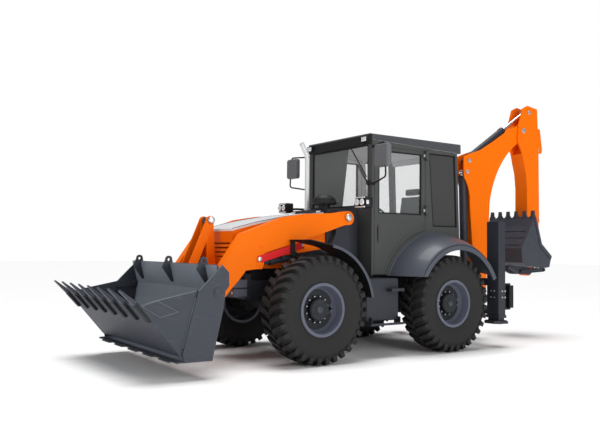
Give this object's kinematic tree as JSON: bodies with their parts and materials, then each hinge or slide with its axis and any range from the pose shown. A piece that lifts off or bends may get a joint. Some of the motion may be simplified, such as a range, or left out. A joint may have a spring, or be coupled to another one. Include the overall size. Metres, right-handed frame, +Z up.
{
  "type": "backhoe loader",
  "caption": "Backhoe loader with equal-size wheels, hinged loader bucket, glazed cab and side-shift backhoe folded up at the rear",
  "frame": {"origin": "on the ground under the middle of the machine's bounding box, loader bucket and folded backhoe included", "axes": "+X forward towards the loader bucket, +Y to the machine's left, +Z up"},
  "size_m": [7.907, 2.462, 3.868],
  "materials": {
    "orange": "orange machine paint",
    "graphite": "dark grey machine paint",
    "grey": "mid grey machine paint",
    "cabgrey": "dark cab paint",
    "roofgrey": "moulded dark plastic",
    "light": "light grey paint",
    "red": "red safety paint",
    "cast": "cast and machined",
    "steel": "bare steel",
    "chrome": "hard chromed rod",
    "tyre": "tyre rubber",
    "black": "black plastic",
    "fabric": "woven seat cover",
    "glass": "clear safety glass"
  },
  "bodies": {
    "chassis": {"chassis_frame": "graphite", "front_weight": "graphite", "engine": "cast", "loader_tower": "graphite", "cowl": "orange", "exhaust": "steel", "cab_frame": "cabgrey", "cab_roof": "roofgrey", "cab_glass": "glass", "seat": "fabric", "console": "black", "rear_fenders": "grey", "front_guards": "grey", "side_tanks": "graphite", "lamps": "black", "mirrors": "black", "axles": "cast", "side_frame": "graphite"},
    "hood": {"hood_lid": "light"},
    "door_left": {"door_left": "cabgrey", "door_glass_left": "glass"},
    "door_right": {"door_right": "cabgrey", "door_glass_right": "glass"},
    "knuckle_front_left": {"knuckle_front_left": "cast"},
    "wheel_front_left": {"tyre_front_left": "tyre", "rim_front_left": "grey"},
    "knuckle_front_right": {"knuckle_front_right": "cast"},
    "wheel_front_right": {"tyre_front_right": "tyre", "rim_front_right": "grey"},
    "knuckle_rear_left": {"knuckle_rear_left": "cast"},
    "wheel_rear_left": {"tyre_rear_left": "tyre", "rim_rear_left": "grey"},
    "knuckle_rear_right": {"knuckle_rear_right": "cast"},
    "wheel_rear_right": {"tyre_rear_right": "tyre", "rim_rear_right": "grey"},
    "loader_arm": {"loader_arm": "orange"},
    "lift_barrels": {"lift_barrels": "graphite", "safety_strut": "red"},
    "lift_rods": {"lift_rods": "chrome"},
    "tilt_lever": {"tilt_lever": "orange"},
    "tilt_link": {"tilt_link": "orange"},
    "tilt_barrel": {"tilt_barrel": "graphite"},
    "tilt_rod": {"tilt_rod": "chrome"},
    "bucket": {"bucket": "graphite"},
    "clam": {"clam": "graphite"},
    "carriage": {"carriage": "graphite"},
    "kingpost": {"kingpost": "graphite"},
    "boom": {"boom": "orange"},
    "dipper": {"dipper": "orange"},
    "hoe_bucket": {"hoe_bucket": "graphite"},
    "tipping_lever": {"tipping_lever": "graphite"},
    "tipping_link": {"tipping_link": "graphite"},
    "boom_barrel": {"boom_barrel": "graphite"},
    "boom_rod": {"boom_rod": "chrome"},
    "dipper_barrel": {"dipper_barrel": "graphite"},
    "dipper_rod": {"dipper_rod": "chrome"},
    "hoe_barrel": {"hoe_barrel": "graphite"},
    "hoe_rod": {"hoe_rod": "chrome"},
    "leg_left": {"stabiliser_leg_left": "graphite"},
    "leg_right": {"stabiliser_leg_right": "graphite"}
  },
  "joints": [
    {"name": "steer_front_left", "type": "hinge", "parent": "chassis", "child": "knuckle_front_left", "pos_m": [1.397, 0.78, 0.6675], "axis": [0, 0, 1], "range_deg": [-20, 20]},
    {"name": "spin_front_left", "type": "hinge", "parent": "knuckle_front_left", "child": "wheel_front_left", "pos_m": [1.397, 0.954, 0.6675], "axis": [0, 1, 0], "continuous": true},
    {"name": "steer_front_right", "type": "hinge", "parent": "chassis", "child": "knuckle_front_right", "pos_m": [1.397, -0.78, 0.6675], "axis": [0, 0, 1], "range_deg": [-20, 20]},
    {"name": "spin_front_right", "type": "hinge", "parent": "knuckle_front_right", "child": "wheel_front_right", "pos_m": [1.397, -0.954, 0.6675], "axis": [0, 1, 0], "continuous": true},
    {"name": "steer_rear_left", "type": "hinge", "parent": "chassis", "child": "knuckle_rear_left", "pos_m": [-0.846, 0.78, 0.6675], "axis": [0, 0, 1], "range_deg": [-20, 20]},
    {"name": "spin_rear_left", "type": "hinge", "parent": "knuckle_rear_left", "child": "wheel_rear_left", "pos_m": [-0.846, 0.954, 0.6675], "axis": [0, 1, 0], "continuous": true},
    {"name": "steer_rear_right", "type": "hinge", "parent": "chassis", "child": "knuckle_rear_right", "pos_m": [-0.846, -0.78, 0.6675], "axis": [0, 0, 1], "range_deg": [-20, 20]},
    {"name": "spin_rear_right", "type": "hinge", "parent": "knuckle_rear_right", "child": "wheel_rear_right", "pos_m": [-0.846, -0.954, 0.6675], "axis": [0, 1, 0], "continuous": true},
    {"name": "door_left_hinge", "type": "hinge", "parent": "chassis", "child": "door_left", "pos_m": [-0.693, 0.752, 2], "axis": [0, 0, 1], "range_deg": [0, 85]},
    {"name": "door_right_hinge", "type": "hinge", "parent": "chassis", "child": "door_right", "pos_m": [-0.693, -0.752, 2], "axis": [0, 0, -1], "range_deg": [0, 85]},
    {"name": "hood_hinge", "type": "hinge", "parent": "chassis", "child": "hood", "pos_m": [0.849, 0, 1.906], "axis": [0, -1, 0], "range_deg": [0, 50]},
    {"name": "arm_lift", "type": "hinge", "parent": "chassis", "child": "loader_arm", "pos_m": [0.646, 0, 1.817], "axis": [0, -1, 0], "range_deg": [-4.5, 70]},
    {"name": "lift_barrel_turn", "type": "hinge", "parent": "chassis", "child": "lift_barrels", "pos_m": [0.777, 0, 1.4], "axis": [0, -1, 0], "range_deg": [-4.55, 70.81]},
    {"name": "lift_rod_slide", "type": "slide", "parent": "lift_barrels", "child": "lift_rods", "axis": [0.9886, 0, -0.1507], "range_m": [-0.03316, 0.51579]},
    {"name": "bucket_tilt", "type": "hinge", "parent": "loader_arm", "child": "bucket", "pos_m": [2.742, 0, 0.62], "axis": [0, 1, 0], "range_deg": [0, 100]},
    {"name": "tilt_lever_turn", "type": "hinge", "parent": "loader_arm", "child": "tilt_lever", "pos_m": [2.367, 0, 1.1], "axis": [0, 1, 0], "range_deg": [0, 56.84]},
    {"name": "tilt_link_turn", "type": "hinge", "parent": "tilt_lever", "child": "tilt_link", "pos_m": [2.397, 0, 1.745], "axis": [0, 1, 0], "range_deg": [-43.85, 0]},
    {"name": "tilt_barrel_turn", "type": "hinge", "parent": "loader_arm", "child": "tilt_barrel", "pos_m": [2.617, 0, 0.85], "axis": [0, 1, 0], "range_deg": [0, 40.66]},
    {"name": "tilt_rod_slide", "type": "slide", "parent": "tilt_barrel", "child": "tilt_rod", "axis": [-0.2387, 0, 0.9711], "range_m": [-0.25172, 0]},
    {"name": "clam_open", "type": "hinge", "parent": "bucket", "child": "clam", "pos_m": [2.877, 0, 0.92], "axis": [0, -1, 0], "range_deg": [0, 70]},
    {"name": "side_shift", "type": "slide", "parent": "chassis", "child": "carriage", "axis": [0, 1, 0], "range_m": [-0.63, 0.23]},
    {"name": "swing", "type": "hinge", "parent": "carriage", "child": "kingpost", "pos_m": [-2.203, 0.2, 0.6], "axis": [0, 0, 1], "range_deg": [-75, 75]},
    {"name": "boom_lower", "type": "hinge", "parent": "kingpost", "child": "boom", "pos_m": [-2.393, 0.2, 0.64], "axis": [0, -1, 0], "range_deg": [0, 85]},
    {"name": "boom_barrel_turn", "type": "hinge", "parent": "kingpost", "child": "boom_barrel", "pos_m": [-2.083, 0.2, 0.925], "axis": [0, -1, 0], "range_deg": [0, 85.68]},
    {"name": "boom_rod_slide", "type": "slide", "parent": "boom_barrel", "child": "boom_rod", "axis": [0.0267, 0, 0.9996], "range_m": [0, 0.57926]},
    {"name": "dipper_out", "type": "hinge", "parent": "boom", "child": "dipper", "pos_m": [-3.39, 0.2, 3.431], "axis": [0, 1, 0], "range_deg": [0, 100]},
    {"name": "dipper_barrel_turn", "type": "hinge", "parent": "boom", "child": "dipper_barrel", "pos_m": [-2.086, 0.2, 2.824], "axis": [0, 1, 0], "range_deg": [0, 6.26]},
    {"name": "dipper_rod_slide", "type": "slide", "parent": "dipper_barrel", "child": "dipper_rod", "axis": [-0.8417, 0, 0.54], "range_m": [-0.52384, 0]},
    {"name": "hoe_bucket_open", "type": "hinge", "parent": "dipper", "child": "hoe_bucket", "pos_m": [-3.558, 0.2, 1.063], "axis": [0, 1, 0], "range_deg": [0, 150]},
    {"name": "tipping_lever_turn", "type": "hinge", "parent": "dipper", "child": "tipping_lever", "pos_m": [-3.663, 0.2, 1.43], "axis": [0, 1, 0], "range_deg": [0, 50.49]},
    {"name": "tipping_link_turn", "type": "hinge", "parent": "tipping_lever", "child": "tipping_link", "pos_m": [-3.913, 0.2, 1.083], "axis": [0, 1, 0], "range_deg": [0, 8.83]},
    {"name": "hoe_barrel_turn", "type": "hinge", "parent": "dipper", "child": "hoe_barrel", "pos_m": [-3.839, 0.2, 3.15], "axis": [0, 1, 0], "range_deg": [0, 5.82]},
    {"name": "hoe_rod_slide", "type": "slide", "parent": "hoe_barrel", "child": "hoe_rod", "axis": [-0.0358, 0, -0.9994], "range_m": [-0.28481, 0]},
    {"name": "stabiliser_left_down", "type": "slide", "parent": "chassis", "child": "leg_left", "axis": [0, 0, -1], "range_m": [0, 0.34]},
    {"name": "stabiliser_right_down", "type": "slide", "parent": "chassis", "child": "leg_right", "axis": [0, 0, -1], "range_m": [0, 0.34]}
  ],
  "couplings": [
    {"joint": "steer_front_right", "follows": "steer_front_left", "ratio": 1},
    {"joint": "steer_rear_right", "follows": "steer_rear_left", "ratio": 1},
    {"joint": "lift_barrel_turn", "follows": "arm_lift", "ratio": 0.99176},
    {"joint": "lift_rod_slide", "follows": "arm_lift", "m_per_rad": 0.4139},
    {"joint": "tilt_lever_turn", "follows": "bucket_tilt", "ratio": 0.55729},
    {"joint": "tilt_link_turn", "follows": "bucket_tilt", "ratio": -0.42994},
    {"joint": "tilt_barrel_turn", "follows": "bucket_tilt", "ratio": 0.39859},
    {"joint": "tilt_rod_slide", "follows": "bucket_tilt", "m_per_rad": -0.1414},
    {"joint": "boom_barrel_turn", "follows": "boom_lower", "ratio": 0.998},
    {"joint": "boom_rod_slide", "follows": "boom_lower", "m_per_rad": 0.38281},
    {"joint": "dipper_barrel_turn", "follows": "dipper_out", "ratio": 0.06134},
    {"joint": "dipper_rod_slide", "follows": "dipper_out", "m_per_rad": -0.29426},
    {"joint": "tipping_lever_turn", "follows": "hoe_bucket_open", "ratio": 0.33},
    {"joint": "tipping_link_turn", "follows": "hoe_bucket_open", "ratio": 0.0577},
    {"joint": "hoe_barrel_turn", "follows": "hoe_bucket_open", "ratio": 0.03801},
    {"joint": "hoe_rod_slide", "follows": "hoe_bucket_open", "m_per_rad": -0.10665}
  ]
}
